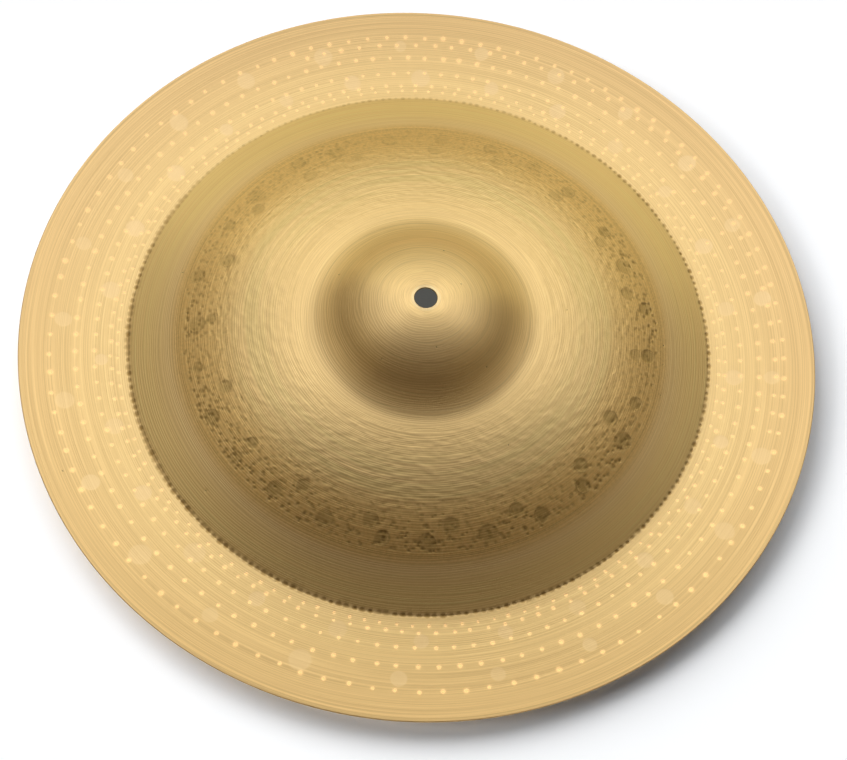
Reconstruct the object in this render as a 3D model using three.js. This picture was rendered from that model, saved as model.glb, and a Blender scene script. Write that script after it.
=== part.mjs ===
// A china cymbal, 19 inches across, in bell bronze.
//
// It is one piece of metal: a cast disc that is rolled, pressed, hammered and turned on a lathe. Its zones, from the
// middle outwards, are the bell with the hole for the stand's rod, the bow, the fold where the sheet turns back up,
// and the wide flange. Units are millimetres, +Z is up along the cymbal's axis, and the origin is on that axis, in the
// plane that the fold stands on when the cymbal lies bell up.

import * as THREE from "three";

// Driving dimensions
const DIAMETER = 482.6; // 19 inches
const HOLE_DIAMETER = 13.5;
const SEAT_WIDTH = 5.75; // the flat round the hole, where the felts bear
const BELL_DIAMETER = 130.4;
const BELL_HEIGHT = 20.7;
const BELL_FOOT_RADIUS = 60; // the hollow curve that spreads the bell's foot
const BOW_HEIGHT = 24.7; // from the fold up to the foot of the bell
const CONE_DIAMETER = 280; // outside this the bow is a plain cone, down to the fold
const FOLD_DIAMETER = 357.2;
const FOLD_RADIUS = 4.5; // the sheet's bend at the fold
const FLANGE_RISE = 13.5; // from the fold up to the rim
const HOLE_THICKNESS = 1.2;
const BOW_THICKNESS = 1.0;
const RIM_THICKNESS = 0.85;
const HOLE_CHAMFER = 0.3;

const SEAT_RADIUS = HOLE_DIAMETER / 2 + SEAT_WIDTH;

// Slopes of the sheet where the crown of the bell leaves the seat, where the bell ends in a crease against the bow, and
// on each side of the fold
const CROWN_INNER_SLOPE = THREE.MathUtils.degToRad(-6.5);
const BELL_FOOT_SLOPE = THREE.MathUtils.degToRad(-16);
const CONE_SLOPE = THREE.MathUtils.degToRad(-16);
const FLANGE_INNER_SLOPE = THREE.MathUtils.degToRad(8.5);

// The hammered line of dents that runs round the fold
const DENT_WIDTH = 2.6;
const DENT_DEPTH = 0.4;
const DENT_SPACING = 2.0; // from one dent's edge to the next one's

// How finely curves are cut into flats
const FLAT_ERROR = 0.15; // how far a ring's flats may lie inside its true circle
const LEAST_FLATS = 24;
const QUARTERS = 4; // points come in fours, so that the part is alike on all four sides
const CROWN_STEPS = 5;
const FOOT_STEPS = 3;
const BOW_STEPS = 6;
const UPPER_FOLD_STEPS = 2; // the dents' ring and the ring past it
const LOWER_FOLD_STEPS = 3;
const FLANGE_STEPS = 5;

// A profile point is { x: radius, y: height, slope }, and a slope is the angle of travel outwards, above the level.

// The arc that starts at a point and bends from one slope to another at a given radius, start point left out.
function arc(start, slopeFrom, slopeTo, radius, steps) {
  const turn = Math.sign(slopeTo - slopeFrom);
  return Array.from({ length: steps }, (_, i) => {
    const slope = slopeFrom + ((slopeTo - slopeFrom) * (i + 1)) / steps;
    return {
      x: start.x + turn * radius * (Math.sin(slope) - Math.sin(slopeFrom)),
      y: start.y - turn * radius * (Math.cos(slope) - Math.cos(slopeFrom)),
      slope,
    };
  });
}

// A parabola's two end tangents average to its chord's, so one end's slope follows from the other's.
function farSlope(start, end, nearSlope) {
  const chord = (end.y - start.y) / (end.x - start.x);
  return Math.atan(2 * chord - Math.tan(nearSlope));
}

// The parabola through two points that leaves the first at a given slope, first point left out.
function parabola(start, end, slopeFrom, steps) {
  const across = end.x - start.x;
  const tangentFrom = Math.tan(slopeFrom);
  const tangentTo = Math.tan(farSlope(start, end, slopeFrom));
  return Array.from({ length: steps }, (_, i) => {
    const share = (i + 1) / steps;
    const tangent = tangentFrom + (tangentTo - tangentFrom) * share;
    return {
      x: start.x + across * share,
      y: start.y + (across * share * (tangentFrom + tangent)) / 2,
      slope: Math.atan(tangent),
    };
  });
}

// The upper face's profile from the hole to the rim, in its zones. The fold's lowest point is at height zero.
function upperProfile(foldSteps) {
  const foldStart = {
    x: FOLD_DIAMETER / 2 + FOLD_RADIUS * Math.sin(CONE_SLOPE),
    y: FOLD_RADIUS * (1 - Math.cos(CONE_SLOPE)),
    slope: CONE_SLOPE,
  };
  const coneStart = {
    x: CONE_DIAMETER / 2,
    y: foldStart.y - (foldStart.x - CONE_DIAMETER / 2) * Math.tan(CONE_SLOPE),
  };
  const bellFoot = { x: BELL_DIAMETER / 2, y: BOW_HEIGHT };
  const bowInnerSlope = farSlope(bellFoot, coneStart, CONE_SLOPE);

  // The crown and the foot are arcs with a shared tangent. If the foot went on until it had the crown's first slope,
  // the two arcs' chord would slope halfway between that and the shared tangent.
  const across =
    bellFoot.x - SEAT_RADIUS - BELL_FOOT_RADIUS * (Math.sin(BELL_FOOT_SLOPE) - Math.sin(CROWN_INNER_SLOPE));
  const down = BELL_HEIGHT + BELL_FOOT_RADIUS * (Math.cos(CROWN_INNER_SLOPE) - Math.cos(BELL_FOOT_SLOPE));
  const flankSlope = -2 * Math.atan2(down, across) - CROWN_INNER_SLOPE;
  const crownRadius = across / (Math.sin(CROWN_INNER_SLOPE) - Math.sin(flankSlope)) - BELL_FOOT_RADIUS;

  const top = BOW_HEIGHT + BELL_HEIGHT;
  const seat = [
    { x: HOLE_DIAMETER / 2, y: top, slope: 0 },
    { x: SEAT_RADIUS, y: top, slope: 0 },
  ];
  const crown = arc(seat.at(-1), CROWN_INNER_SLOPE, flankSlope, crownRadius, CROWN_STEPS);
  const foot = arc(crown.at(-1), flankSlope, BELL_FOOT_SLOPE, BELL_FOOT_RADIUS, FOOT_STEPS);
  const bow = [...parabola(foot.at(-1), coneStart, bowInnerSlope, BOW_STEPS), foldStart];
  const fold = arc(foldStart, CONE_SLOPE, FLANGE_INNER_SLOPE, FOLD_RADIUS, foldSteps);

  // The upper face stops short of the full radius by what the rounded rim adds beyond it.
  const foldEnd = fold.at(-1);
  const fullRadius = { x: DIAMETER / 2, y: FLANGE_RISE };
  const rimSlope = farSlope(foldEnd, fullRadius, FLANGE_INNER_SLOPE);
  const rimReach = (RIM_THICKNESS / 2) * (Math.cos(rimSlope) + Math.sin(rimSlope));
  const rim = { x: DIAMETER / 2 - rimReach, y: FLANGE_RISE };
  const flange = parabola(foldEnd, rim, FLANGE_INNER_SLOPE, FLANGE_STEPS);
  return { seat, crown, foot, bow, fold, flange };
}

// The sheet is thickest at the seat, and thins to the foot of the bell and again to the rim.
function thicknessAt(radius) {
  const foot = BELL_DIAMETER / 2;
  if (radius > foot) {
    return THREE.MathUtils.mapLinear(radius, foot, DIAMETER / 2, BOW_THICKNESS, RIM_THICKNESS);
  }
  const beyondSeat = Math.max(radius, SEAT_RADIUS);
  return THREE.MathUtils.mapLinear(beyondSeat, SEAT_RADIUS, foot, HOLE_THICKNESS, BOW_THICKNESS);
}

// The lower face lies one thickness below the upper one, square to it.
function lowerProfile() {
  return Object.values(upperProfile(LOWER_FOLD_STEPS))
    .flat()
    .map((point) => {
      const thickness = thicknessAt(point.x);
      return {
        x: point.x + thickness * Math.sin(point.slope),
        y: point.y - thickness * Math.cos(point.slope),
      };
    });
}

function roundToQuarters(count) {
  return QUARTERS * Math.round(count / QUARTERS);
}

// How many flats keep a ring within the permitted error
function flatsFor(radius) {
  return roundToQuarters(Math.max(Math.PI / Math.acos(1 - FLAT_ERROR / radius), LEAST_FLATS));
}

function evenAngles(count) {
  return Array.from({ length: count }, (_, i) => (2 * Math.PI * i) / count);
}

// A ring is a list of { angle, position }. A station is { angle, sink }, where sink is how far that point lies below
// the profile.
function ringThrough(point, lift, stations) {
  return stations.map(({ angle, sink }) => {
    const x = point.x * Math.cos(angle);
    const y = point.x * Math.sin(angle);
    return { angle, position: new THREE.Vector3(x, y, point.y + lift - sink) };
  });
}

function plainRing(point, lift) {
  const stations = evenAngles(flatsFor(point.x)).map((angle) => ({ angle, sink: 0 }));
  return ringThrough(point, lift, stations);
}

// The fold's rings on the upper face. Each dent is a hollow with four sides: two corners and the sunk middle lie on
// the middle ring, and one corner lies on the ring on each side of it.
function foldRings(before, middle, after, lift) {
  const count = roundToQuarters((Math.PI * FOLD_DIAMETER) / (DENT_WIDTH + DENT_SPACING));
  const pitchAngle = (2 * Math.PI) / count;
  const halfDentAngle = DENT_WIDTH / FOLD_DIAMETER;
  const corners = evenAngles(count).map((angle) => ({ angle, sink: 0 }));
  const dented = corners.flatMap(({ angle }) => [
    { angle, sink: DENT_DEPTH },
    { angle: angle + halfDentAngle, sink: 0 },
    { angle: angle + pitchAngle - halfDentAngle, sink: 0 },
  ]);
  return [
    ringThrough(before, lift, corners),
    ringThrough(middle, lift, dented),
    ringThrough(after, lift, corners),
  ];
}

// All rings in order: out along the upper face, round the rim, back along the lower face and up through the hole.
function cymbalRings() {
  const upper = upperProfile(UPPER_FOLD_STEPS);
  const lower = lowerProfile();
  const lift = -Math.min(...lower.map((point) => point.y));
  const plain = (points) => points.map((point) => plainRing(point, lift));

  const rimUpper = upper.flange.at(-1);
  const rimLower = lower.at(-1);
  const rimNose = {
    x: (rimUpper.x + rimLower.x) / 2 + (RIM_THICKNESS / 2) * Math.cos(rimUpper.slope),
    y: (rimUpper.y + rimLower.y) / 2 + (RIM_THICKNESS / 2) * Math.sin(rimUpper.slope),
  };
  const [holeUpper, seatEdge] = upper.seat;
  const holeLower = lower[0];
  const holeCorner = (height, inset) => ({ x: HOLE_DIAMETER / 2 + inset, y: height });

  return [
    ...plain([holeCorner(holeUpper.y, HOLE_CHAMFER), seatEdge]),
    ...plain([...upper.crown, ...upper.foot, ...upper.bow.slice(0, -1)]),
    ...foldRings(upper.bow.at(-1), ...upper.fold, lift),
    ...plain([...upper.flange, rimNose]),
    ...plain(lower.slice(1).reverse()),
    ...plain([
      holeCorner(holeLower.y, HOLE_CHAMFER),
      holeCorner(holeLower.y + HOLE_CHAMFER, 0),
      holeCorner(holeUpper.y - HOLE_CHAMFER, 0),
    ]),
  ];
}

// The triangles between two neighbouring rings, which may have different numbers of points: whichever ring's next
// point comes first round the circle is joined next.
function zip(ring, next) {
  const triangles = [];
  const angleOf = (points, i) => points[i % points.length].angle + 2 * Math.PI * Math.floor(i / points.length);
  let i = 0;
  let j = 0;
  while (i < ring.length || j < next.length) {
    const a = ring[i % ring.length].position;
    const b = next[j % next.length].position;
    const stepNext = i >= ring.length || (j < next.length && angleOf(next, j + 1) <= angleOf(ring, i + 1));
    if (stepNext) {
      j += 1;
      triangles.push(a, b, next[j % next.length].position);
    } else {
      i += 1;
      triangles.push(a, b, ring[i % ring.length].position);
    }
  }
  return triangles;
}

// The closed skin through a loop of rings
function skinOf(rings) {
  const corners = rings.flatMap((ring, k) => zip(ring, rings[(k + 1) % rings.length]));
  return new THREE.BufferGeometry().setFromPoints(corners);
}

function cymbal() {
  const geometry = skinOf(cymbalRings());
  geometry.computeVertexNormals();
  const bronze = new THREE.MeshStandardMaterial({ color: 0xd9b36c, metalness: 1, roughness: 0.4 });
  const mesh = new THREE.Mesh(geometry, bronze);
  mesh.name = "cymbal";
  return mesh;
}

const part = new THREE.Group();
part.add(cymbal());

export default part;
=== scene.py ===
# China cymbal of bell bronze, lying bell up on a white studio floor.
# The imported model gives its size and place. Its sheet is made again here as one fine mesh, with the
# hammer marks, peened dots and lathe lines of the real surface.

import math

import bpy
import numpy as np
from mathutils import Matrix, Vector
from mathutils.geometry import delaunay_2d_cdt


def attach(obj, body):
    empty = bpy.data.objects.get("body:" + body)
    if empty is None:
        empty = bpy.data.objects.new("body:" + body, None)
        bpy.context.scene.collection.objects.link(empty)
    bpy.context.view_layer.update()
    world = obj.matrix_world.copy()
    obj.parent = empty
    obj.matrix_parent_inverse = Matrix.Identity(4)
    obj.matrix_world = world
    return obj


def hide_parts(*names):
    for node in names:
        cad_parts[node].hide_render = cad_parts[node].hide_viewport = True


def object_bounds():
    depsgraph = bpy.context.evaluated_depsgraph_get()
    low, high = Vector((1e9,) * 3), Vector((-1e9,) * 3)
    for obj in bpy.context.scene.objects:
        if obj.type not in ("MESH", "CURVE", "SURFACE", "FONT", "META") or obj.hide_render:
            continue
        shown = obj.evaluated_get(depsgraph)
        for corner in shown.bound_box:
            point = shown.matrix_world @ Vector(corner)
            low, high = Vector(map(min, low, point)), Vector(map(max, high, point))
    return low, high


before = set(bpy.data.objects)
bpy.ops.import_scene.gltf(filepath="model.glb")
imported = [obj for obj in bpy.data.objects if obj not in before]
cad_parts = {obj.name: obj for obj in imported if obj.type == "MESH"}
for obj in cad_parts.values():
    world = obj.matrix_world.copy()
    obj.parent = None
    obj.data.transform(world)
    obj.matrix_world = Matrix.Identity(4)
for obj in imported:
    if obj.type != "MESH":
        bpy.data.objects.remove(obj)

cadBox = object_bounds()
mm = 0.001


def linearColor(hexColor):
    # sRGB hex to linear: the dark foot is a straight line, the rest a power of 2.4
    srgb = [int(hexColor[i:i + 2], 16) / 255 for i in (1, 3, 5)]
    return [c / 12.92 if c <= 0.04045 else ((c + 0.055) / 1.055) ** 2.4 for c in srgb] + [1]


def addNode(tree, kind, inputs=None, **settings):
    # One node with its settings. An input is linked where it is a socket, and set where it is a value.
    node = tree.nodes.new(kind)
    for name, value in settings.items():
        setattr(node, name, value)
    for socket, value in (inputs or {}).items():
        if isinstance(value, bpy.types.NodeSocket):
            tree.links.new(value, node.inputs[socket])
        else:
            node.inputs[socket].default_value = value
    return node


# The sheet's section, in millimetres and radians. It follows the solid's section from the hole to the rim,
# but for a rounder foot of the bell, a fold slightly further out and a softer root of the flange.
sheet = {
    "rimRadius": (cadBox[1][0] - cadBox[0][0]) / 2 / mm,
    "holeRadius": 6.75,
    "seatWidth": 5.75,
    "bellRadius": 65.2,
    "bellHeight": 20.7,
    "footBend": 60,
    "bowHeight": 24.7,
    "bowBend": 33,  # rounds the bow's start, where the solid has a crease
    "coneRadius": 140,
    "coneHeight": 10.8,
    "foldRadius": 179.5,
    "foldBend": 5,
    "rootBend": 70,  # rounds the flange's start
    "flangeRise": 13.3,
    "holeThickness": 1.2,
    "bowThickness": 1.0,
    "rimThickness": 0.85,
    "holeChamfer": 0.3,
    "crownSlope": math.radians(-6.5),
    "bellFootSlope": math.radians(-16),
    "bowSlope": math.radians(-4),
    "coneSlope": math.radians(-14.3),
    "rootSlope": math.radians(3),
    "flangeSlope": math.radians(8.7),
    "samples": 200,  # for each zone of the section
}


def arc(start, slopeFrom, slopeTo, bend):
    # A circle's arc from a point: x grows with the sine of the slope, and y falls with its cosine
    turn = np.sign(slopeTo - slopeFrom) * bend
    slope = np.linspace(slopeFrom, slopeTo, sheet["samples"])
    x = start[0] + turn * (np.sin(slope) - math.sin(slopeFrom))
    y = start[1] - turn * (np.cos(slope) - math.cos(slopeFrom))
    return np.stack([x, y, slope], axis=1)


def farSlope(start, end, nearSlope):
    # A parabola's end tangents average to its chord's
    chord = (end[1] - start[1]) / (end[0] - start[0])
    return math.atan(2 * chord - math.tan(nearSlope))


def parabola(start, end, slopeFrom):
    # The height is the start's, plus the distance times the mean of the first tangent and the one reached
    share = np.linspace(0, 1, sheet["samples"])
    across = end[0] - start[0]
    first = math.tan(slopeFrom)
    tangent = first + (math.tan(farSlope(start, end, slopeFrom)) - first) * share
    y = start[1] + across * share * (first + tangent) / 2
    return np.stack([start[0] + across * share, y, np.arctan(tangent)], axis=1)


def upperSection():
    # The upper face from the hole to the rim, as lines of radius, height above the fold and slope
    s = sheet
    foldStart = np.array([
        s["foldRadius"] + s["foldBend"] * math.sin(s["coneSlope"]),
        s["foldBend"] * (1 - math.cos(s["coneSlope"])),
        s["coneSlope"],
    ])
    bellFoot = (s["bellRadius"], s["bowHeight"])

    # the crown and the foot are arcs with one tangent where they meet
    first, last = s["crownSlope"], s["bellFootSlope"]
    seatRadius = s["holeRadius"] + s["seatWidth"]
    across = bellFoot[0] - seatRadius - s["footBend"] * (math.sin(last) - math.sin(first))
    down = s["bellHeight"] + s["footBend"] * (math.cos(first) - math.cos(last))
    flankSlope = -2 * math.atan2(down, across) - first
    crownBend = across / (math.sin(first) - math.sin(flankSlope)) - s["footBend"]

    top = s["bowHeight"] + s["bellHeight"]
    seat = np.array([[s["holeRadius"], top, 0], [seatRadius, top, 0]])
    crown = arc(seat[-1], first, flankSlope, crownBend)
    foot = arc(crown[-1], flankSlope, last, s["footBend"])
    shoulder = arc(foot[-1], last, s["bowSlope"], s["bowBend"])
    bow = parabola(shoulder[-1], (s["coneRadius"], s["coneHeight"]), s["bowSlope"])
    cone = parabola(bow[-1], foldStart, bow[-1, 2])
    fold = arc(foldStart, s["coneSlope"], s["rootSlope"], s["foldBend"])
    root = arc(fold[-1], s["rootSlope"], s["flangeSlope"], s["rootBend"])
    # the rim's half circle reaches past the flange's end by half the thickness times one plus the sine
    rimSlope = farSlope(root[-1], (s["rimRadius"], s["flangeRise"]), s["flangeSlope"])
    reach = s["rimThickness"] / 2 * (1 + math.sin(rimSlope))
    flange = parabola(root[-1], (s["rimRadius"] - reach, s["flangeRise"]), s["flangeSlope"])
    later = (crown, foot, shoulder, bow, cone, fold, root, flange)
    return np.concatenate([seat] + [zone[1:] for zone in later])  # each starts where the last one ends


def thicknessAt(radius):
    # Straight from the seat to the foot of the bell, and straight on to the rim
    s = sheet
    stations = [s["holeRadius"] + s["seatWidth"], s["bellRadius"], s["rimRadius"]]
    return np.interp(radius, stations, [s["holeThickness"], s["bowThickness"], s["rimThickness"]])


section = upperSection()
# the lower face lies one thickness off along the normal, and the overlap at the seat's edge is left out
thickness = thicknessAt(section[:, 0])
under = np.stack([
    section[:, 0] + thickness * np.sin(section[:, 2]),
    section[:, 1] - thickness * np.cos(section[:, 2]),
], axis=1)
under = under[np.diff(np.maximum.accumulate(under[:, 0]), prepend=0) > 0]
lift = -under[:, 1].min()  # stands the fold's underside on the floor


def upperHeight(radius):
    # Height of the plain upper face above the floor
    return np.interp(radius, section[:, 0], section[:, 1]) + lift


def lowerHeight(radius):
    # Height of the lower face above the floor
    return np.interp(radius, under[:, 0], under[:, 1]) + lift


print("section: %d points, lift %.3f mm" % (len(section), lift))

# What the hammers left, in millimetres and degrees.
# Marks in rows: each row is its radius, how many marks it has and half a mark's length. Marks in a ring:
# the ring is its two radii, with a mark at each gap along the turn and each rowGap across it, of which
# kept is the share that stays at either radius.
# Slim is a mark's width over its length, stray how far the hand moves it from its even place, and tilt how
# far the hand turns it. Sunk is its depth, weakest the least share of that depth, and edge the distances
# between which the depth fades. Outline is a line round it, at a distance and with a half width. Both are
# counted in half lengths of the mark.
# TurnSize and turnStrength are factors at angles round the turn, and fade is factors at radii. Clusters is
# how many crowds there are, and reach how far each one's centre is felt.
marks = {
    "seed": 19,
    "sizeSpread": 0.12,
    "handLimit": 2,  # the hand's worst error, in times its usual one
    "weakest": 0.6,  # where a kind doesn't say
    "outlineTurns": 5,  # how many times an outline's dark side turns while its mark turns once
    "peen": {  # dots in rings round the flange
        "rows": [(184.8, 128, 1.3), (188.9, 121, 1.55), (198.1, 116, 1.65), (209.3, 112, 1.8),
                 (223.7, 108, 1.9)],
        "slim": 1.0, "stray": 0.5, "weakest": 0.85, "sunk": 0.07, "edge": (0.75, 1.12),
    },
    "extraPeen": {  # a row that runs only part of the way round
        "rows": [(218.6, 110, 1.8)], "arc": (-12, 118),
        "slim": 1.0, "stray": 0.6, "weakest": 0.85,
    },
    "disc": {  # larger polished spots between the dots
        "rows": [(194.0, 26, 5.2), (217.0, 25, 5.3)],
        "slim": 1.0, "stray": 0.9, "sunk": 0.06, "edge": (0.9, 1.05),
    },
    "foldDent": {  # the line of dents along the fold
        "rows": [(179.0, 246, 1.85)],
        "turnSize": [(-180, 1.3), (-120, 1.35), (-75, 1.0), (60, 0.95), (110, 0.8), (135, 0.7),
                     (160, 1.25), (180, 1.3)],
        "turnStrength": [(-180, 1), (45, 1), (80, 0.6), (120, 0.35), (150, 0.4), (175, 0.9)],
        "slim": 0.75, "stray": 0.3, "sunk": 0.22, "edge": (0.4, 1.05),
    },
    "roundMark": {  # prints of a round hammer face in the dull ring
        "rows": [(138.5, 27, 4.8), (129.0, 19, 4.6)],
        "turnStrength": [(-180, 0.9), (-140, 1), (35, 1), (70, 0.35), (110, 0.35), (145, 0.5),
                         (170, 0.8)],
        "slim": 0.95, "stray": 3.2, "sunk": 0.14, "edge": (0.75, 1.0), "outline": (0.97, 0.09),
    },
    "pit": {  # they crowd together in clusters and grow fainter inward
        "ring": (119.0, 146.0), "gap": 3.5, "rowGap": 3.5, "kept": (0.6, 0.95), "size": 1.75,
        "turnStrength": [(-180, 1), (45, 1), (75, 0.4), (110, 0.4), (145, 0.8), (170, 1)],
        "fade": [(118, 0.3), (132, 0.65), (141, 1)], "clusters": 22, "reach": 16,
        "slim": 0.8, "stray": 2.2, "sunk": 0.26, "edge": (0.0, 1.1), "outline": (1.2, 0.22),
    },
    "scale": {  # long shallow blows that overlap, so that their edges meet in low ridges
        "ring": (69.0, 146.0), "gap": 8.5, "rowGap": 2.3, "kept": (1.0, 1.0), "size": 5.6,
        "fade": [(70, 0), (84, 1), (122, 1), (142, 0)],
        "slim": 0.3, "stray": 1.6, "tilt": 12, "sunk": 0.18,
    },
    "nick": {  # small dark dents from handling, each at a radius and an angle
        "places": [(31, -71), (24, 35), (44, -118), (52, -38), (57, 162), (39, 80), (149, 4), (149, -1),
                   (150.5, -9), (152, 174), (96, -52), (88, 12), (165, -132), (203, 61), (229, -147)],
        "size": 0.65, "slim": 0.6, "stray": 0, "tilt": 60, "sunk": 0.08, "edge": (0.3, 1.1),
    },
    "rimGroove": (238.2, 0.5, 0.1),  # radius, half width, depth
}
randomSource = np.random.default_rng(marks["seed"])


def toPlane(radius, angle):
    # x is the radius times the angle's cosine, and y the radius times its sine
    return np.stack([radius * np.cos(angle), radius * np.sin(angle)], axis=1)


def smoothStep(value, low, high):
    # Rises from 0 to 1 without corners: three times the share's square less twice its cube
    share = ((value - low) / (high - low)).clip(0, 1)
    return share * share * (3 - 2 * share)


def circles(radii, spacing, fewest=24):
    # Points along many circles at once: each circle holds as many as its length takes at the spacing, and
    # every other circle is turned by half a step
    radii = np.asarray(radii, float)
    counts = np.maximum(np.round(2 * np.pi * radii / spacing), fewest).astype(int)
    first = np.repeat(np.cumsum(counts) - counts, counts)
    step = np.arange(counts.sum()) - first
    phase = np.repeat((np.arange(len(radii)) % 2) * 0.5, counts)
    return toPlane(np.repeat(radii, counts), 2 * np.pi * (step + phase) / np.repeat(counts, counts))


def evenCircle(radius, count):
    # Points at even steps round one circle
    return toPlane(np.full(count, float(radius)), 2 * np.pi * np.arange(count) / count)


def byTurn(kind, name, angle):
    # A factor that changes round the turn, straight from one stated angle to the next
    degrees, factor = np.array(kind.get(name, [(0, 1)])).T
    return np.interp(np.degrees(angle), degrees, factor, period=360)


def markTable(kind, radius, angle, size):
    # One line for each mark: x, y, half its length, half its width, its direction and its strength. Every
    # mark lies along the turn, but for its tilt, and strays by a share of the hand's error.
    count, limit = len(radius), marks["handLimit"]
    along, across, grow, lean = randomSource.normal(0, 1, (4, count)).clip(-limit, limit)
    place = toPlane(radius + kind["stray"] * across / 2, angle + kind["stray"] * along / radius)
    half = size * (1 + marks["sizeSpread"] * grow)
    direction = angle + np.pi / 2 + math.radians(kind.get("tilt", 0)) * lean
    strength = randomSource.uniform(kind.get("weakest", marks["weakest"]), 1, count)
    strength = strength * byTurn(kind, "turnStrength", angle)
    half = half * byTurn(kind, "turnSize", angle)
    return np.column_stack([place, half, half * kind["slim"], direction, strength])


def inRows(kind):
    # Marks at even steps round each row's circle, or round its arc alone
    rows = []
    for radius, count, size in kind["rows"]:
        angle = 2 * np.pi * np.arange(count) / count
        if "arc" in kind:
            first, last = np.radians(kind["arc"])
            angle = angle[(angle - first) % (2 * np.pi) < last - first]
        rows.append(markTable(kind, np.full(len(angle), radius), angle, size))
    return np.concatenate(rows)


def inRing(kind):
    # Marks all over a ring, of which a share is kept that changes evenly from its inside to its outside
    first, last = kind["ring"]
    place = circles(np.arange(first, last, kind["rowGap"]), kind["gap"])
    radius = np.hypot(*place.T)
    share = np.interp(radius, kind["ring"], kind["kept"])
    place = place[randomSource.random(len(place)) < share]
    table = markTable(kind, np.hypot(*place.T), np.arctan2(place[:, 1], place[:, 0]), kind["size"])
    if "clusters" in kind:
        # the centres lie in the ring's outer half, and strength falls from the nearest one as a bell
        # curve, to a half
        count = kind["clusters"]
        centre = toPlane(np.interp(randomSource.random(count), (0, 1), (first + last, 2 * last)) / 2,
                         randomSource.uniform(0, 2 * np.pi, count))
        away = np.hypot(*(table[:, None, :2] - centre).transpose(2, 0, 1)).min(axis=1)
        table[:, 5] *= (1 + np.exp(-(away / kind["reach"]) ** 2)) / 2
        table[:, 5] *= np.interp(np.hypot(*table[:, :2].T), *np.array(kind["fade"]).T)
    return table


def atPlaces(kind):
    # Marks at the radii and angles that are stated one by one
    radius, angle = np.array(kind["places"]).T
    return markTable(kind, radius, np.radians(angle), kind["size"])


tables = {
    "peen": np.concatenate([inRows(marks["peen"]), inRows(marks["extraPeen"])]),
    "disc": inRows(marks["disc"]),
    "foldDent": inRows(marks["foldDent"]),
    "roundMark": inRows(marks["roundMark"]),
    "pit": inRing(marks["pit"]),
    "scale": inRing(marks["scale"]),
    "nick": atPlaces(marks["nick"]),
}
print("marks: " + ", ".join("%d %s" % (len(table), name) for name, table in tables.items()))


def nearest(points, table, lot=1000):
    # Each point's least distance to a mark, counted in that mark's own half length and half width, and
    # which mark it is. The offset from the mark's centre is turned into the mark's direction first. The
    # points are taken in lots, to spare memory.
    x, y, halfLength, halfWidth, direction = table[:, :5].T
    alongX, alongY = np.cos(direction) / halfLength, np.sin(direction) / halfLength
    acrossX, acrossY = -np.sin(direction) / halfWidth, np.cos(direction) / halfWidth
    distance = np.empty(len(points))
    number = np.empty(len(points), int)
    for chosen in np.array_split(np.arange(len(points)), len(points) // lot + 1):
        dx = points[chosen, :1] - x
        dy = points[chosen, 1:] - y
        apart = np.hypot(dx * alongX + dy * alongY, dx * acrossX + dy * acrossY)
        number[chosen] = apart.argmin(axis=1)
        distance[chosen] = apart.min(axis=1)
    return distance, number


# How the points of the fine mesh are spread, in millimetres
mesh = {
    "rimPoints": 480,
    "holePoints": 72,
    "rimRings": 5,
    "zones": {  # first and last circle, the step from circle to circle and the spacing along them
        "bell": (8.6, 64.3, 1.45, 2.7),
        "bow": (66.2, 117.2, 0.85, 2.7),
        "hammered": (118.0, 147.2, 1.35, 1.6),
        "cone": (148.5, 176.0, 1.7, 4.4),
        "fold": (176.8, 183.6, 0.85, 2.3),
        "flange": (185.0, 235.8, 2.2, 4.0),
        "groove": (237.0, 239.4, 0.6, 2.6),
        "underBell": (8.6, 64.3, 3.2, 4.5),
        "underBow": (66.2, 175.0, 6.8, 6.5),
        "underFold": (177.2, 183.2, 1.1, 6.5),
        "underFlange": (186.5, 238.0, 5.0, 6.5),
    },
    "patches": {  # rings of points round each mark: the ring's distance, in sizes, and how many points
        "peen": [(0.5, 6), (1.15, 9)],
        "disc": [(0.5, 9), (0.88, 24), (1.0, 28), (1.1, 28)],
        "foldDent": [(0.6, 6), (1.1, 9)],
        "roundMark": [(0.35, 8), (0.68, 13), (0.86, 22), (0.97, 24), (1.08, 24)],
        "pit": [(0.45, 5), (0.85, 8), (1.2, 9)],
        "nick": [(0.6, 5), (1.15, 7)],
    },
    "clear": {  # how far other points keep off a mark's centre, in sizes
        "peen": 1.7,
        "peenOnDisc": 1.6,
        "disc": 1.2,
        "foldDent": 1.4,
        "roundMark": 1.15,
        "pit": 1.4,
        "pitOnRoundMark": 0.9,
        "nick": 2,
    },
    "felt": 8,  # no mark is felt further from its centre than this
    "mergeWithin": 1e-5,  # points closer than this would become one, so none are
    "sharpAngle": math.radians(42),  # sharper edges, those of the hole's chamfers, aren't smoothed
}


def zonePoints(name):
    first, last, step, spacing = mesh["zones"][name]
    return circles(np.linspace(first, last, round((last - first) / step) + 1), spacing)


def patch(name):
    # Every mark's centre and the rings of points round it, stretched to the mark's half length and half
    # width and turned into its direction
    table, rings = tables[name], mesh["patches"][name]
    shares = np.concatenate([np.full(count, share) for share, count in rings])
    turns = np.concatenate([2 * np.pi * (np.arange(count) + k % 2 / 2) / count
                            for k, (share, count) in enumerate(rings)])
    shape = np.concatenate([[[0, 0]], toPlane(shares, turns)])
    along = shape[:, 0] * table[:, 2:3]
    across = shape[:, 1] * table[:, 3:4]
    cosine, sine = np.cos(table[:, 4:5]), np.sin(table[:, 4:5])
    x = table[:, :1] + along * cosine - across * sine
    y = table[:, 1:2] + along * sine + across * cosine
    return np.stack([x, y], axis=-1).reshape(-1, 2)


def clearOf(points, name, rule=None):
    # The points that keep off every mark of a kind, by that kind's distance or by a rule of its own
    return points[nearest(points, tables[name])[0] > mesh["clear"][rule or name]]


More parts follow.
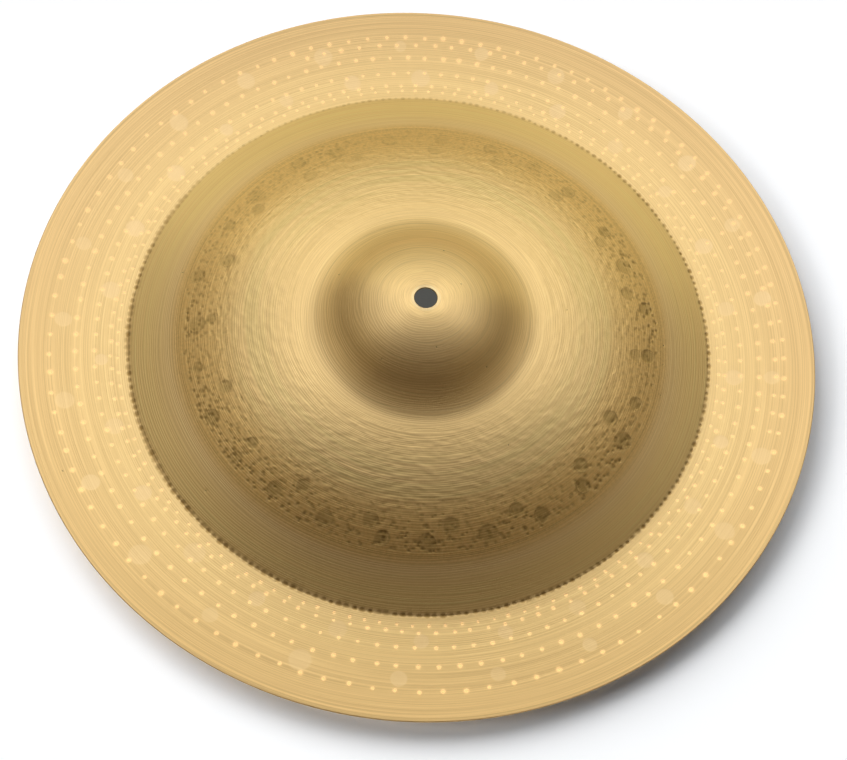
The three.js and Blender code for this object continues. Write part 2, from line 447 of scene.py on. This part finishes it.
def upperPoints():
    # The hole's edge and the rim come first, then the zones with room left for the marks, then the marks
    plain = np.concatenate([
        zonePoints("bell"),
        clearOf(zonePoints("bow"), "pit"),
        clearOf(clearOf(zonePoints("hammered"), "roundMark"), "pit"),
        zonePoints("cone"),
        clearOf(zonePoints("fold"), "foldDent"),
        clearOf(clearOf(zonePoints("flange"), "disc"), "peen"),
        zonePoints("groove"),
        clearOf(patch("roundMark"), "pit", "pitOnRoundMark"),
        clearOf(patch("disc"), "peen", "peenOnDisc"),
        patch("pit"),
        patch("peen"),
        patch("foldDent"),
    ])
    return np.concatenate([
        evenCircle(sheet["holeRadius"] + sheet["holeChamfer"], mesh["holePoints"]),
        evenCircle(section[-1, 0], mesh["rimPoints"]),
        clearOf(plain, "nick"),
        patch("nick"),
    ])


def lowerPoints():
    return np.concatenate([
        evenCircle(sheet["holeRadius"] + sheet["holeChamfer"], mesh["holePoints"]),
        evenCircle(under[-1, 0], mesh["rimPoints"]),
        *[zonePoints(name) for name in ("underBell", "underBow", "underFold", "underFlange")],
    ])


def skin(points):
    # Triangles between points of the plane, with those that span the hole left out, all turned to face up
    vertices, _, faces = delaunay_2d_cdt(points.tolist(), [], [], 0, mesh["mergeWithin"])[:3]
    assert len(vertices) == len(points)
    faces = np.array(faces)
    faces = faces[~(faces < mesh["holePoints"]).all(axis=1)]
    a, b, c = (points[faces[:, k]] for k in range(3))
    area = (b[:, 0] - a[:, 0]) * (c[:, 1] - a[:, 1]) - (b[:, 1] - a[:, 1]) * (c[:, 0] - a[:, 0])
    faces[area < 0] = faces[area < 0][:, ::-1]
    return faces


def dent(kind, place, distance, mark):
    # Full strength inside the first edge distance, fading to none at the second
    return mark[:, 5] * (1 - smoothStep(distance, *kind["edge"]))


def blow(kind, place, distance, mark):
    # A round-bottomed hollow: depth falls with the square of the distance
    fade = np.interp(np.hypot(*place.T), *np.array(kind["fade"]).T)
    return fade * mark[:, 5] * (1 - distance ** 2).clip(0)


def outline(kind, place, distance, mark):
    # A line that fades to both sides as a bell curve. It is strongest on one side of the mark, which the
    # mark's own direction picks: one plus the cosine, halved.
    at, halfWidth = kind["outline"]
    offset = place - mark[:, :2]
    side = (1 + np.cos(np.arctan2(offset[:, 1], offset[:, 0]) - marks["outlineTurns"] * mark[:, 4])) / 2
    return mark[:, 5] * side * np.exp(-((distance - at) / halfWidth) ** 2)


def relief(points):
    # Height added to the upper face, in millimetres, and the masks that the finish reads. A mask is its
    # form at the nearest mark of its kind, and all but the outlines sink the face by their kind's depth.
    radius = np.hypot(*points.T)
    height = np.zeros(len(points))
    masks = {}
    for mask, name, form in (
        ("peen", "peen", dent),
        ("disc", "disc", dent),
        ("foldDent", "foldDent", dent),
        ("roundMark", "roundMark", dent),
        ("pit", "pit", dent),
        ("nick", "nick", dent),
        ("scale", "scale", blow),
        ("roundMarkEdge", "roundMark", outline),
        ("pitEdge", "pit", outline),
    ):
        kind, table = marks[name], tables[name]
        centres = np.hypot(*table[:, :2].T)
        near = (radius > centres.min() - mesh["felt"]) & (radius < centres.max() + mesh["felt"])
        distance, number = nearest(points[near], table)
        masks[mask] = np.zeros(len(points))
        masks[mask][near] = form(kind, points[near], distance, table[number])
        if form is not outline:
            height -= kind["sunk"] * masks[mask]

    grooveRadius, halfWidth, depth = marks["rimGroove"]
    height -= depth * np.exp(-((radius - grooveRadius) / halfWidth) ** 2)
    return height, masks


def strip(lower, upper):
    # Quads between two rings with as many points each, as pairs of triangles
    nextLower = np.roll(lower, -1)
    nextUpper = np.roll(upper, -1)
    return np.concatenate([
        np.stack([lower, nextLower, nextUpper], axis=1),
        np.stack([lower, nextUpper, upper], axis=1),
    ])


def raisedCircle(radius, count, height):
    return np.column_stack([evenCircle(radius, count), np.full(count, height)])


def cymbalShape():
    # The two faces are joined round the rim by a half circle, and through the hole by a wall between two
    # chamfers
    s = sheet
    top, bottom = upperPoints(), lowerPoints()
    topFaces = skin(top)
    bottomFaces = skin(bottom)[:, ::-1] + len(top)
    height, masks = relief(top)
    print("upper face: %d points, %d triangles" % (len(top), len(topFaces)))

    rimSlope = section[-1, 2]
    centre = (section[-1, :2] + under[-1]) / 2 + [0, lift]
    turns = np.linspace(math.pi / 2, -math.pi / 2, mesh["rimRings"] + 2)[1:-1] + rimSlope
    half = s["rimThickness"] / 2
    rimRings = [
        raisedCircle(centre[0] + half * math.cos(t), mesh["rimPoints"], centre[1] + half * math.sin(t))
        for t in turns
    ]
    holeTop = section[0, 1] + lift
    holeRings = [
        raisedCircle(s["holeRadius"], mesh["holePoints"], z)
        for z in (holeTop - s["holeChamfer"], holeTop - s["holeThickness"] + s["holeChamfer"])
    ]
    vertices = np.concatenate([
        np.column_stack([top, upperHeight(np.hypot(*top.T)) + height]),
        np.column_stack([bottom, lowerHeight(np.hypot(*bottom.T))]),
        *rimRings,
        *holeRings,
    ])

    # each face starts with its hole's ring and goes on with its rim's
    hole = np.arange(mesh["holePoints"])
    rim = len(hole) + np.arange(mesh["rimPoints"])
    start = len(top) + len(bottom) - len(hole)
    rims = [rim] + [start + k * len(rim) + rim for k in range(mesh["rimRings"])] + [len(top) + rim]
    start = len(vertices) - 2 * len(hole)
    holes = [hole, start + hole, start + len(hole) + hole, len(top) + hole]
    walls = [strip(low, high) for high, low in zip(rims, rims[1:])]
    walls += [strip(high, low) for high, low in zip(holes, holes[1:])]
    return vertices, np.concatenate([topFaces, bottomFaces] + walls), masks


def buildCymbal():
    vertices, faces, masks = cymbalShape()
    edges = np.concatenate([faces[:, [0, 1]], faces[:, [1, 2]], faces[:, [2, 0]]])
    assert len(np.unique(edges, axis=0)) == len(edges)  # a closed skin has every edge once each way
    assert len(np.unique(np.sort(edges, axis=1), axis=0)) * 2 == len(edges)

    data = bpy.data.meshes.new("cymbalSheet")
    data.vertices.add(len(vertices))
    data.vertices.foreach_set("co", (vertices * mm).astype(np.float32).ravel())
    data.loops.add(faces.size)
    data.loops.foreach_set("vertex_index", faces.astype(np.int32).ravel())
    data.polygons.add(len(faces))
    data.polygons.foreach_set("loop_start", np.arange(0, faces.size, 3, dtype=np.int32))
    data.update(calc_edges=True)
    data.polygons.foreach_set("use_smooth", np.ones(len(faces), bool))
    data.set_sharp_from_angle(angle=mesh["sharpAngle"])
    for name, values in masks.items():
        full = np.zeros(len(vertices), np.float32)
        full[:len(values)] = values
        data.attributes.new(name, "FLOAT", "POINT").data.foreach_set("value", full)
    assert not data.validate(verbose=True)

    piece = bpy.data.objects.new("cymbalSheet", data)
    bpy.context.scene.collection.objects.link(piece)
    print("cymbal: %d vertices, %d triangles" % (len(vertices), len(faces)))
    return piece


cymbal = buildCymbal()

# Bell bronze turned on a lathe and hammered: warm yellow metal, satin from fine round lines, so it shows
# broad soft reflections. It is brighter where a polished peen struck, for a smoother finish and a painted
# sheen, and dull and brown in the hammered ring, where the lathe never cut and the skin of the casting
# stays. Lengths are in millimetres.
bronze = {
    "metal": "#FADA9D",
    "roughness": 0.42,
    "roughnessSwing": 0.03,
    "peenPolish": 0.42,  # how much smoother a peened dot is, as a share
    "stretch": 0.65,  # how much wider reflections spread across the round lines than along them
    "quarterTurn": 0.25,  # turns that spread from round the turn to outward
    "lineTurn": 1.2,  # how soon a line changes along the turn
    "lineDepth": 0.03,
    "linePitch": 0.6,  # real lines lie about 0.4 mm apart, which is too fine to show
    "lineDetail": 2,
    "lineRange": (0.42, 0.58, 0.04),  # the noise's low and high values, and how much they shade the metal
    "roughnessRange": (0.35, 0.65),
    "cutPitch": 1.4,  # the lathe tool's steps
    "cutWaver": 3.0,  # how many steps they drift by
    "cutDepth": 0.014,
    "cutRange": (-1.0, 1.0, 0.035),
    "bandPitch": 5.0,
    "bandDetail": 1,
    "bandRange": (0.35, 0.65, 0.012),
    "speckSize": 1.6,
    "speckDetail": 2,
    "speckRange": (0.35, 0.65, 0.07),
    "noiseRoughness": 0.6,
    "turned": [  # single lines round the turn: radius, half width and how much darker
        # 28.2 and 39.1 are turned lines, 64.6 is painted shade in the crease at the bell's foot, 147.4
        # darkens the hammered ring's outer edge
        (28.2, 0.5, 0.06), (39.1, 0.5, 0.07), (64.6, 0.5, 0.1), (147.4, 0.8, 0.08),
        # a painted highlight and painted shade that show the groove at the rim
        (238.3, 0.5, -0.06), (239.4, 0.5, 0.1),
    ],
    "rings": [  # the radii where it starts, is full, is still full and ends, its colour and share
        ((6.0, 6.9, 8.0, 9.4), "#FFE4B0", 1.0),  # a painted highlight at the hole's chamfered edge
        # the bell's flank gets a deeper, warmer tint, a painted reflection of the bow's bronze that it
        # mirrors
        ((26, 50, 56, 70), "#F6D28E", 0.8),  # the bell's flank
        # the outer bow's lighter tint is also painted light, for a brighter reflection than its slope gives
        ((150, 168, 176, 180), "#FFDE98", 0.9),  # the outer bow, yellower where the lathe cut last
        ((190, 238, 242, 243), "#F2D096", 1.0),  # the flange, a little darker toward the rim
    ],
    "dull": ((100, 136, 146, 156), "#EFC982", 0.95),
    "film": ((84, 100, 112, 124), "#E8D292", 0.45),
    "filmRange": (0.4, 0.6),
    "stainsAndPaintedLight": [  # mask, colour and share; some are painted shade and sheen, as noted
        # painted shade in the hollow of each blow
        ("scale", "#D2B46C", 0.14),
        # painted sheen on the polished discs
        ("disc", "#FFE0AA", 0.9),
        # a lighter painted sheen on the peened dots, which are smoother too
        ("peen", "#FFD394", 1.0),
        # painted shade in the dents along the fold
        ("foldDent", "#9E7C42", 0.95),
        ("roundMark", "#A08850", 0.5),
        ("roundMarkEdge", "#5E4620", 0.6),
        ("pitEdge", "#FFDE9C", 0.6),
        ("pit", "#6E562C", 0.75),
        ("nick", "#2A1E0C", 0.9),
    ],
}


def bronzeMaterial():
    material = bpy.data.materials.new("bellBronzeLathed")
    material.use_nodes = True
    tree = material.node_tree
    tree.nodes.clear()
    place = addNode(tree, "ShaderNodeTexCoord").outputs["Object"]
    flat = addNode(tree, "ShaderNodeVectorMath", {0: place, 1: (1, 1, 0)}, operation="MULTIPLY").outputs[0]
    outward = addNode(tree, "ShaderNodeVectorMath", {0: flat}, operation="NORMALIZE").outputs[0]
    length = addNode(tree, "ShaderNodeVectorMath", {0: flat}, operation="LENGTH").outputs["Value"]
    radius = addNode(tree, "ShaderNodeMath", {0: length, 1: 1 / mm}, operation="MULTIPLY").outputs[0]

    def ringNoise(around, pitch, detail):
        # Noise that closes on itself round the turn: it reads the direction from the axis times a size,
        # and above that the radius over the pitch
        high = addNode(tree, "ShaderNodeMath", {0: radius, 1: 1 / pitch}, operation="MULTIPLY").outputs[0]
        lifted = addNode(tree, "ShaderNodeCombineXYZ", {"Z": high}).outputs[0]
        spot = addNode(tree, "ShaderNodeVectorMath", {0: outward, 1: (around,) * 3, 2: lifted},
                       operation="MULTIPLY_ADD").outputs[0]
        return addNode(tree, "ShaderNodeTexNoise", {
            "Vector": spot, "Scale": 1, "Detail": detail, "Roughness": bronze["noiseRoughness"],
        }).outputs["Fac"]

    def ringShare(ring, share):
        # Rises smoothly over the ring's first two radii and falls over its last two
        start, full, still, end = ring
        rising = addNode(tree, "ShaderNodeMapRange", {
            "Value": radius, "From Min": start, "From Max": full,
        }, interpolation_type="SMOOTHSTEP").outputs[0]
        falling = addNode(tree, "ShaderNodeMapRange", {
            "Value": radius, "From Min": still, "From Max": end, "To Min": share, "To Max": 0,
        }, interpolation_type="SMOOTHSTEP").outputs[0]
        return addNode(tree, "ShaderNodeMath", {0: rising, 1: falling}, operation="MULTIPLY").outputs[0]

    lines = ringNoise(bronze["lineTurn"], bronze["linePitch"], bronze["lineDetail"])
    bands = ringNoise(bronze["lineTurn"], bronze["bandPitch"], bronze["bandDetail"])
    specks = addNode(tree, "ShaderNodeTexNoise", {
        "Vector": place, "Scale": 1 / (bronze["speckSize"] * mm), "Detail": bronze["speckDetail"],
    }).outputs["Fac"]

    # the lathe tool's even steps are a sine of the radius, which the bands shift to and fro
    waver = addNode(tree, "ShaderNodeMath", {
        0: bands, 1: 2 * math.pi * bronze["cutWaver"],
    }, operation="MULTIPLY").outputs[0]
    step = addNode(tree, "ShaderNodeMath", {
        0: radius, 1: 2 * math.pi / bronze["cutPitch"], 2: waver,
    }, operation="MULTIPLY_ADD").outputs[0]
    cuts = addNode(tree, "ShaderNodeMath", {0: step}, operation="SINE").outputs[0]

    # the metal's tints by radius, some of them painted light as the list notes, with the dull ring over
    # them
    dullRing, dullColor, dullShare = bronze["dull"]
    dullness = ringShare(dullRing, dullShare)
    tints = [(ringShare(ring, share), tint) for ring, tint, share in bronze["rings"]]
    color = linearColor(bronze["metal"])
    for part, tint in tints + [(dullness, dullColor)]:
        color = addNode(tree, "ShaderNodeMix", {
            0: part, 6: color, 7: linearColor(tint),
        }, data_type="RGBA").outputs[2]

    # a thin film of tarnish lies in the wider bands inside the hammered ring
    filmRing, filmColor, filmShare = bronze["film"]
    low, high = bronze["filmRange"]
    banded = addNode(tree, "ShaderNodeMapRange", {
        "Value": bands, "From Min": low, "From Max": high,
    }).outputs[0]
    film = addNode(tree, "ShaderNodeMath", {
        0: banded, 1: ringShare(filmRing, filmShare),
    }, operation="MULTIPLY").outputs[0]
    color = addNode(tree, "ShaderNodeMix", {
        0: film, 6: color, 7: linearColor(filmColor),
    }, data_type="RGBA").outputs[2]

    # lines, bands, cuts and specks lighten and darken the metal a little, the lines and cuts as painted
    # shade of the lathe's grooves: one plus each pattern's swing, less the single lines
    shade = 1.0
    for pattern, (low, high, swing), where in (
        (lines, bronze["lineRange"], None),
        (bands, bronze["bandRange"], None),
        (cuts, bronze["cutRange"], None),
        (specks, bronze["speckRange"], dullness),
    ):
        signed = addNode(tree, "ShaderNodeMapRange", {
            "Value": pattern, "From Min": low, "From Max": high, "To Min": -swing, "To Max": swing,
        }).outputs[0]
        if where is not None:
            signed = addNode(tree, "ShaderNodeMath", {0: signed, 1: where}, operation="MULTIPLY").outputs[0]
        shade = addNode(tree, "ShaderNodeMath", {0: signed, 1: shade}, operation="ADD").outputs[0]
    for lineRadius, width, dark in bronze["turned"]:
        inside = addNode(tree, "ShaderNodeMath", {
            0: radius, 1: lineRadius, 2: width,
        }, operation="COMPARE").outputs[0]
        shade = addNode(tree, "ShaderNodeMath", {
            0: inside, 1: -dark, 2: shade,
        }, operation="MULTIPLY_ADD").outputs[0]
    color = addNode(tree, "ShaderNodeVectorMath", {0: color, "Scale": shade}, operation="SCALE").outputs[0]

    # each mask lays its colour over the metal: stains, and the painted shade and sheen noted in the list
    for name, markColor, share in bronze["stainsAndPaintedLight"]:
        mask = addNode(tree, "ShaderNodeAttribute", attribute_name=name).outputs["Fac"]
        part = addNode(tree, "ShaderNodeMath", {0: mask, 1: share}, operation="MULTIPLY").outputs[0]
        color = addNode(tree, "ShaderNodeMix", {
            0: part, 6: color, 7: linearColor(markColor),
        }, data_type="RGBA").outputs[2]

    # the lines vary the roughness, and the peened dots are smoother
    low, high = bronze["roughnessRange"]
    lined = addNode(tree, "ShaderNodeMapRange", {
        "Value": lines, "From Min": low, "From Max": high,
        "To Min": bronze["roughness"] + bronze["roughnessSwing"],
        "To Max": bronze["roughness"] - bronze["roughnessSwing"],
    }).outputs[0]
    peen = addNode(tree, "ShaderNodeAttribute", attribute_name="peen").outputs["Fac"]
    smoother = addNode(tree, "ShaderNodeMath", {
        0: peen, 1: -bronze["peenPolish"], 2: 1.0,
    }, operation="MULTIPLY_ADD").outputs[0]
    roughness = addNode(tree, "ShaderNodeMath", {0: lined, 1: smoother}, operation="MULTIPLY").outputs[0]

    cutShare = bronze["cutDepth"] / bronze["lineDepth"]
    depth = addNode(tree, "ShaderNodeMath", {
        0: cuts, 1: cutShare, 2: lines,
    }, operation="MULTIPLY_ADD").outputs[0]
    bump = addNode(tree, "ShaderNodeBump", {
        "Height": depth, "Distance": bronze["lineDepth"] * mm, "Strength": 1,
    }).outputs[0]
    around = addNode(tree, "ShaderNodeTangent", direction_type="RADIAL", axis="Z").outputs[0]
    shader = addNode(tree, "ShaderNodeBsdfPrincipled", {
        "Base Color": color, "Metallic": 1, "Roughness": roughness, "Normal": bump,
        "Anisotropic": bronze["stretch"], "Anisotropic Rotation": bronze["quarterTurn"], "Tangent": around,
    })
    addNode(tree, "ShaderNodeOutputMaterial", {"Surface": shader.outputs[0]})
    print("bronze: %d nodes" % len(tree.nodes))
    return material


cymbal.data.materials.append(bronzeMaterial())
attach(cymbal, "root")
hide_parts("cymbal")

# The camera's distance, the angle it looks down at, its roll, and how far off centre it looks. Lengths are
# in metres, and the lens and the sensor in millimetres.
view = {
    "distance": 0.850,
    "elevation": math.radians(63.8),
    "roll": math.radians(7.8),
    "aside": (0.0052, -0.0341),
    "focal": 59.36,  # about 1397 pixels over a frame 847 pixels wide
    "sensor": 36,
    "aimHeight": 0.0144,
    "farthest": 100,
}


def addCamera():
    e = view["elevation"]
    right = Vector((1, 0, 0))
    up = Vector((0, math.sin(e), math.cos(e)))
    back = Vector((0, -math.cos(e), math.sin(e)))
    place = Vector((0, 0, view["aimHeight"])) + back * view["distance"]
    place += right * view["aside"][0] + up * view["aside"][1]
    rolledRight = right * math.cos(view["roll"]) + up * math.sin(view["roll"])
    rolledUp = up * math.cos(view["roll"]) - right * math.sin(view["roll"])
    data = bpy.data.cameras.new("camera")
    data.lens = view["focal"]
    data.sensor_width = view["sensor"]
    data.clip_end = view["farthest"]
    camera = bpy.data.objects.new("camera", data)
    turn = Matrix((rolledRight, rolledUp, back)).transposed().to_4x4()
    camera.matrix_world = Matrix.Translation(place) @ turn
    bpy.context.scene.collection.objects.link(camera)
    bpy.context.scene.camera = camera
    print("camera: %.2f m off, %.1f mm lens" % (view["distance"], view["focal"]))


addCamera()

# Soft studio light. The metal mirrors a soft box overhead, dimmer cards behind it, at its sides and in
# front, and a dim warm ceiling. The floor is lit by three soft lamps, from the left and behind, that the
# metal doesn't mirror.
light = {
    "panels": [  # name, place, the point it faces, its turn in degrees, width and height, glow, colour
        ("softBox", (-0.055, 0.506, 0.724), (-0.055, 0.506, 0), 12.4, (1.035, 0.854), 1.09, "#FFFFFF"),
        ("backCard", (0, 1.5, 1.2), (0, 0, 1.2), 0, (3.0, 2.4), 0.32, "#FFFCC4"),
        ("leftCard", (-1.5, 0, 1.2), (0, 0, 1.2), 0, (3.0, 2.4), 0.08, "#FFE8A0"),
        ("rightCard", (1.5, 0, 1.2), (0, 0, 1.2), 0, (3.0, 2.4), 0.05, "#FFE8A0"),
        ("frontCard", (0, -2.5, 0.5), (0, 0, 0.5), 0, (5.0, 1.0), 0.08, "#FFDCA0"),
        ("ceiling", (0, 0, 3.0), (0, 0, 0), 0, (12, 12), 0.055, "#FFC070"),
    ],
    "floorLamps": [  # azimuth, height and width of the lamp in degrees, and how bright white paint is in it
        (143, 38, 50, 0.55),
        (78, 50, 40, 0.25),
        (195, 32, 20, 0.17),
    ],
    "world": "#FFFFFF",
    "worldGlow": 0.01,
}


def addPanel(name, place, target, turn, size, glow, tint):
    # A panel that glows evenly has a power of pi times its area times its glow
    data = bpy.data.lights.new(name, "AREA")
    data.shape = "RECTANGLE"
    data.size, data.size_y = size
    data.energy = glow * math.pi * size[0] * size[1]
    data.color = linearColor(tint)[:3]
    panel = bpy.data.objects.new(name, data)
    facing = (Vector(place) - Vector(target)).to_track_quat("Z", "Y").to_matrix().to_4x4()
    panel.matrix_world = Matrix.Translation(place) @ facing @ Matrix.Rotation(math.radians(turn), 4, "Z")
    panel.visible_diffuse = False
    panel.visible_camera = False
    bpy.context.scene.collection.objects.link(panel)


def addFloorLamp(name, azimuth, height, width, share):
    # Level white paint is as bright as the lamp's power over pi, times the sine of the lamp's height
    data = bpy.data.lights.new(name, "SUN")
    data.angle = math.radians(width)
    data.energy = math.pi * share / math.sin(math.radians(height))
    lamp = bpy.data.objects.new(name, data)
    lamp.rotation_euler = (0, math.radians(90 - height), math.radians(azimuth))
    lamp.visible_glossy = False
    bpy.context.scene.collection.objects.link(lamp)


def addWorld():
    # White where the camera looks past the floor, and only a faint glow for the metal
    world = bpy.data.worlds.new("studio")
    world.use_nodes = True
    tree = world.node_tree
    seen = addNode(tree, "ShaderNodeLightPath").outputs["Is Camera Ray"]
    strength = addNode(tree, "ShaderNodeMath", {
        0: seen, 1: light["worldGlow"],
    }, operation="MAXIMUM").outputs[0]
    background = tree.nodes["Background"]
    background.inputs["Color"].default_value = linearColor(light["world"])
    tree.links.new(strength, background.inputs["Strength"])
    bpy.context.scene.world = world


for panel in light["panels"]:
    addPanel(*panel)
for number, lamp in enumerate(light["floorLamps"]):
    addFloorLamp("floorLamp%d" % number, *lamp)
addWorld()
print("light: %d panels, %d floor lamps" % (len(light["panels"]), len(light["floorLamps"])))

# White paint without gloss. A faint cool glow stands for the light of the room, so the shadow is blue-grey.
floorFinish = {
    "half": 15,
    "paint": "#FFFFFF",
    "roughness": 0.9,
    "gloss": 0,
    "glowColor": "#B8DCFF",
    "glow": 0.06,
}


def addFloor():
    h = floorFinish["half"]
    data = bpy.data.meshes.new("floor")
    data.from_pydata([(-h, -h, 0), (h, -h, 0), (h, h, 0), (-h, h, 0)], [], [(0, 1, 2, 3)])
    floor = bpy.data.objects.new("floor", data)
    bpy.context.scene.collection.objects.link(floor)
    material = bpy.data.materials.new("mattWhitePaint")
    material.use_nodes = True
    shader = material.node_tree.nodes["Principled BSDF"]
    shader.inputs["Base Color"].default_value = linearColor(floorFinish["paint"])
    shader.inputs["Roughness"].default_value = floorFinish["roughness"]
    shader.inputs["Specular IOR Level"].default_value = floorFinish["gloss"]
    shader.inputs["Emission Color"].default_value = linearColor(floorFinish["glowColor"])
    shader.inputs["Emission Strength"].default_value = floorFinish["glow"]
    data.materials.append(material)
    print("floor: %d m across" % (2 * h))


addFloor()
bpy.context.scene.view_settings.view_transform = "Standard"
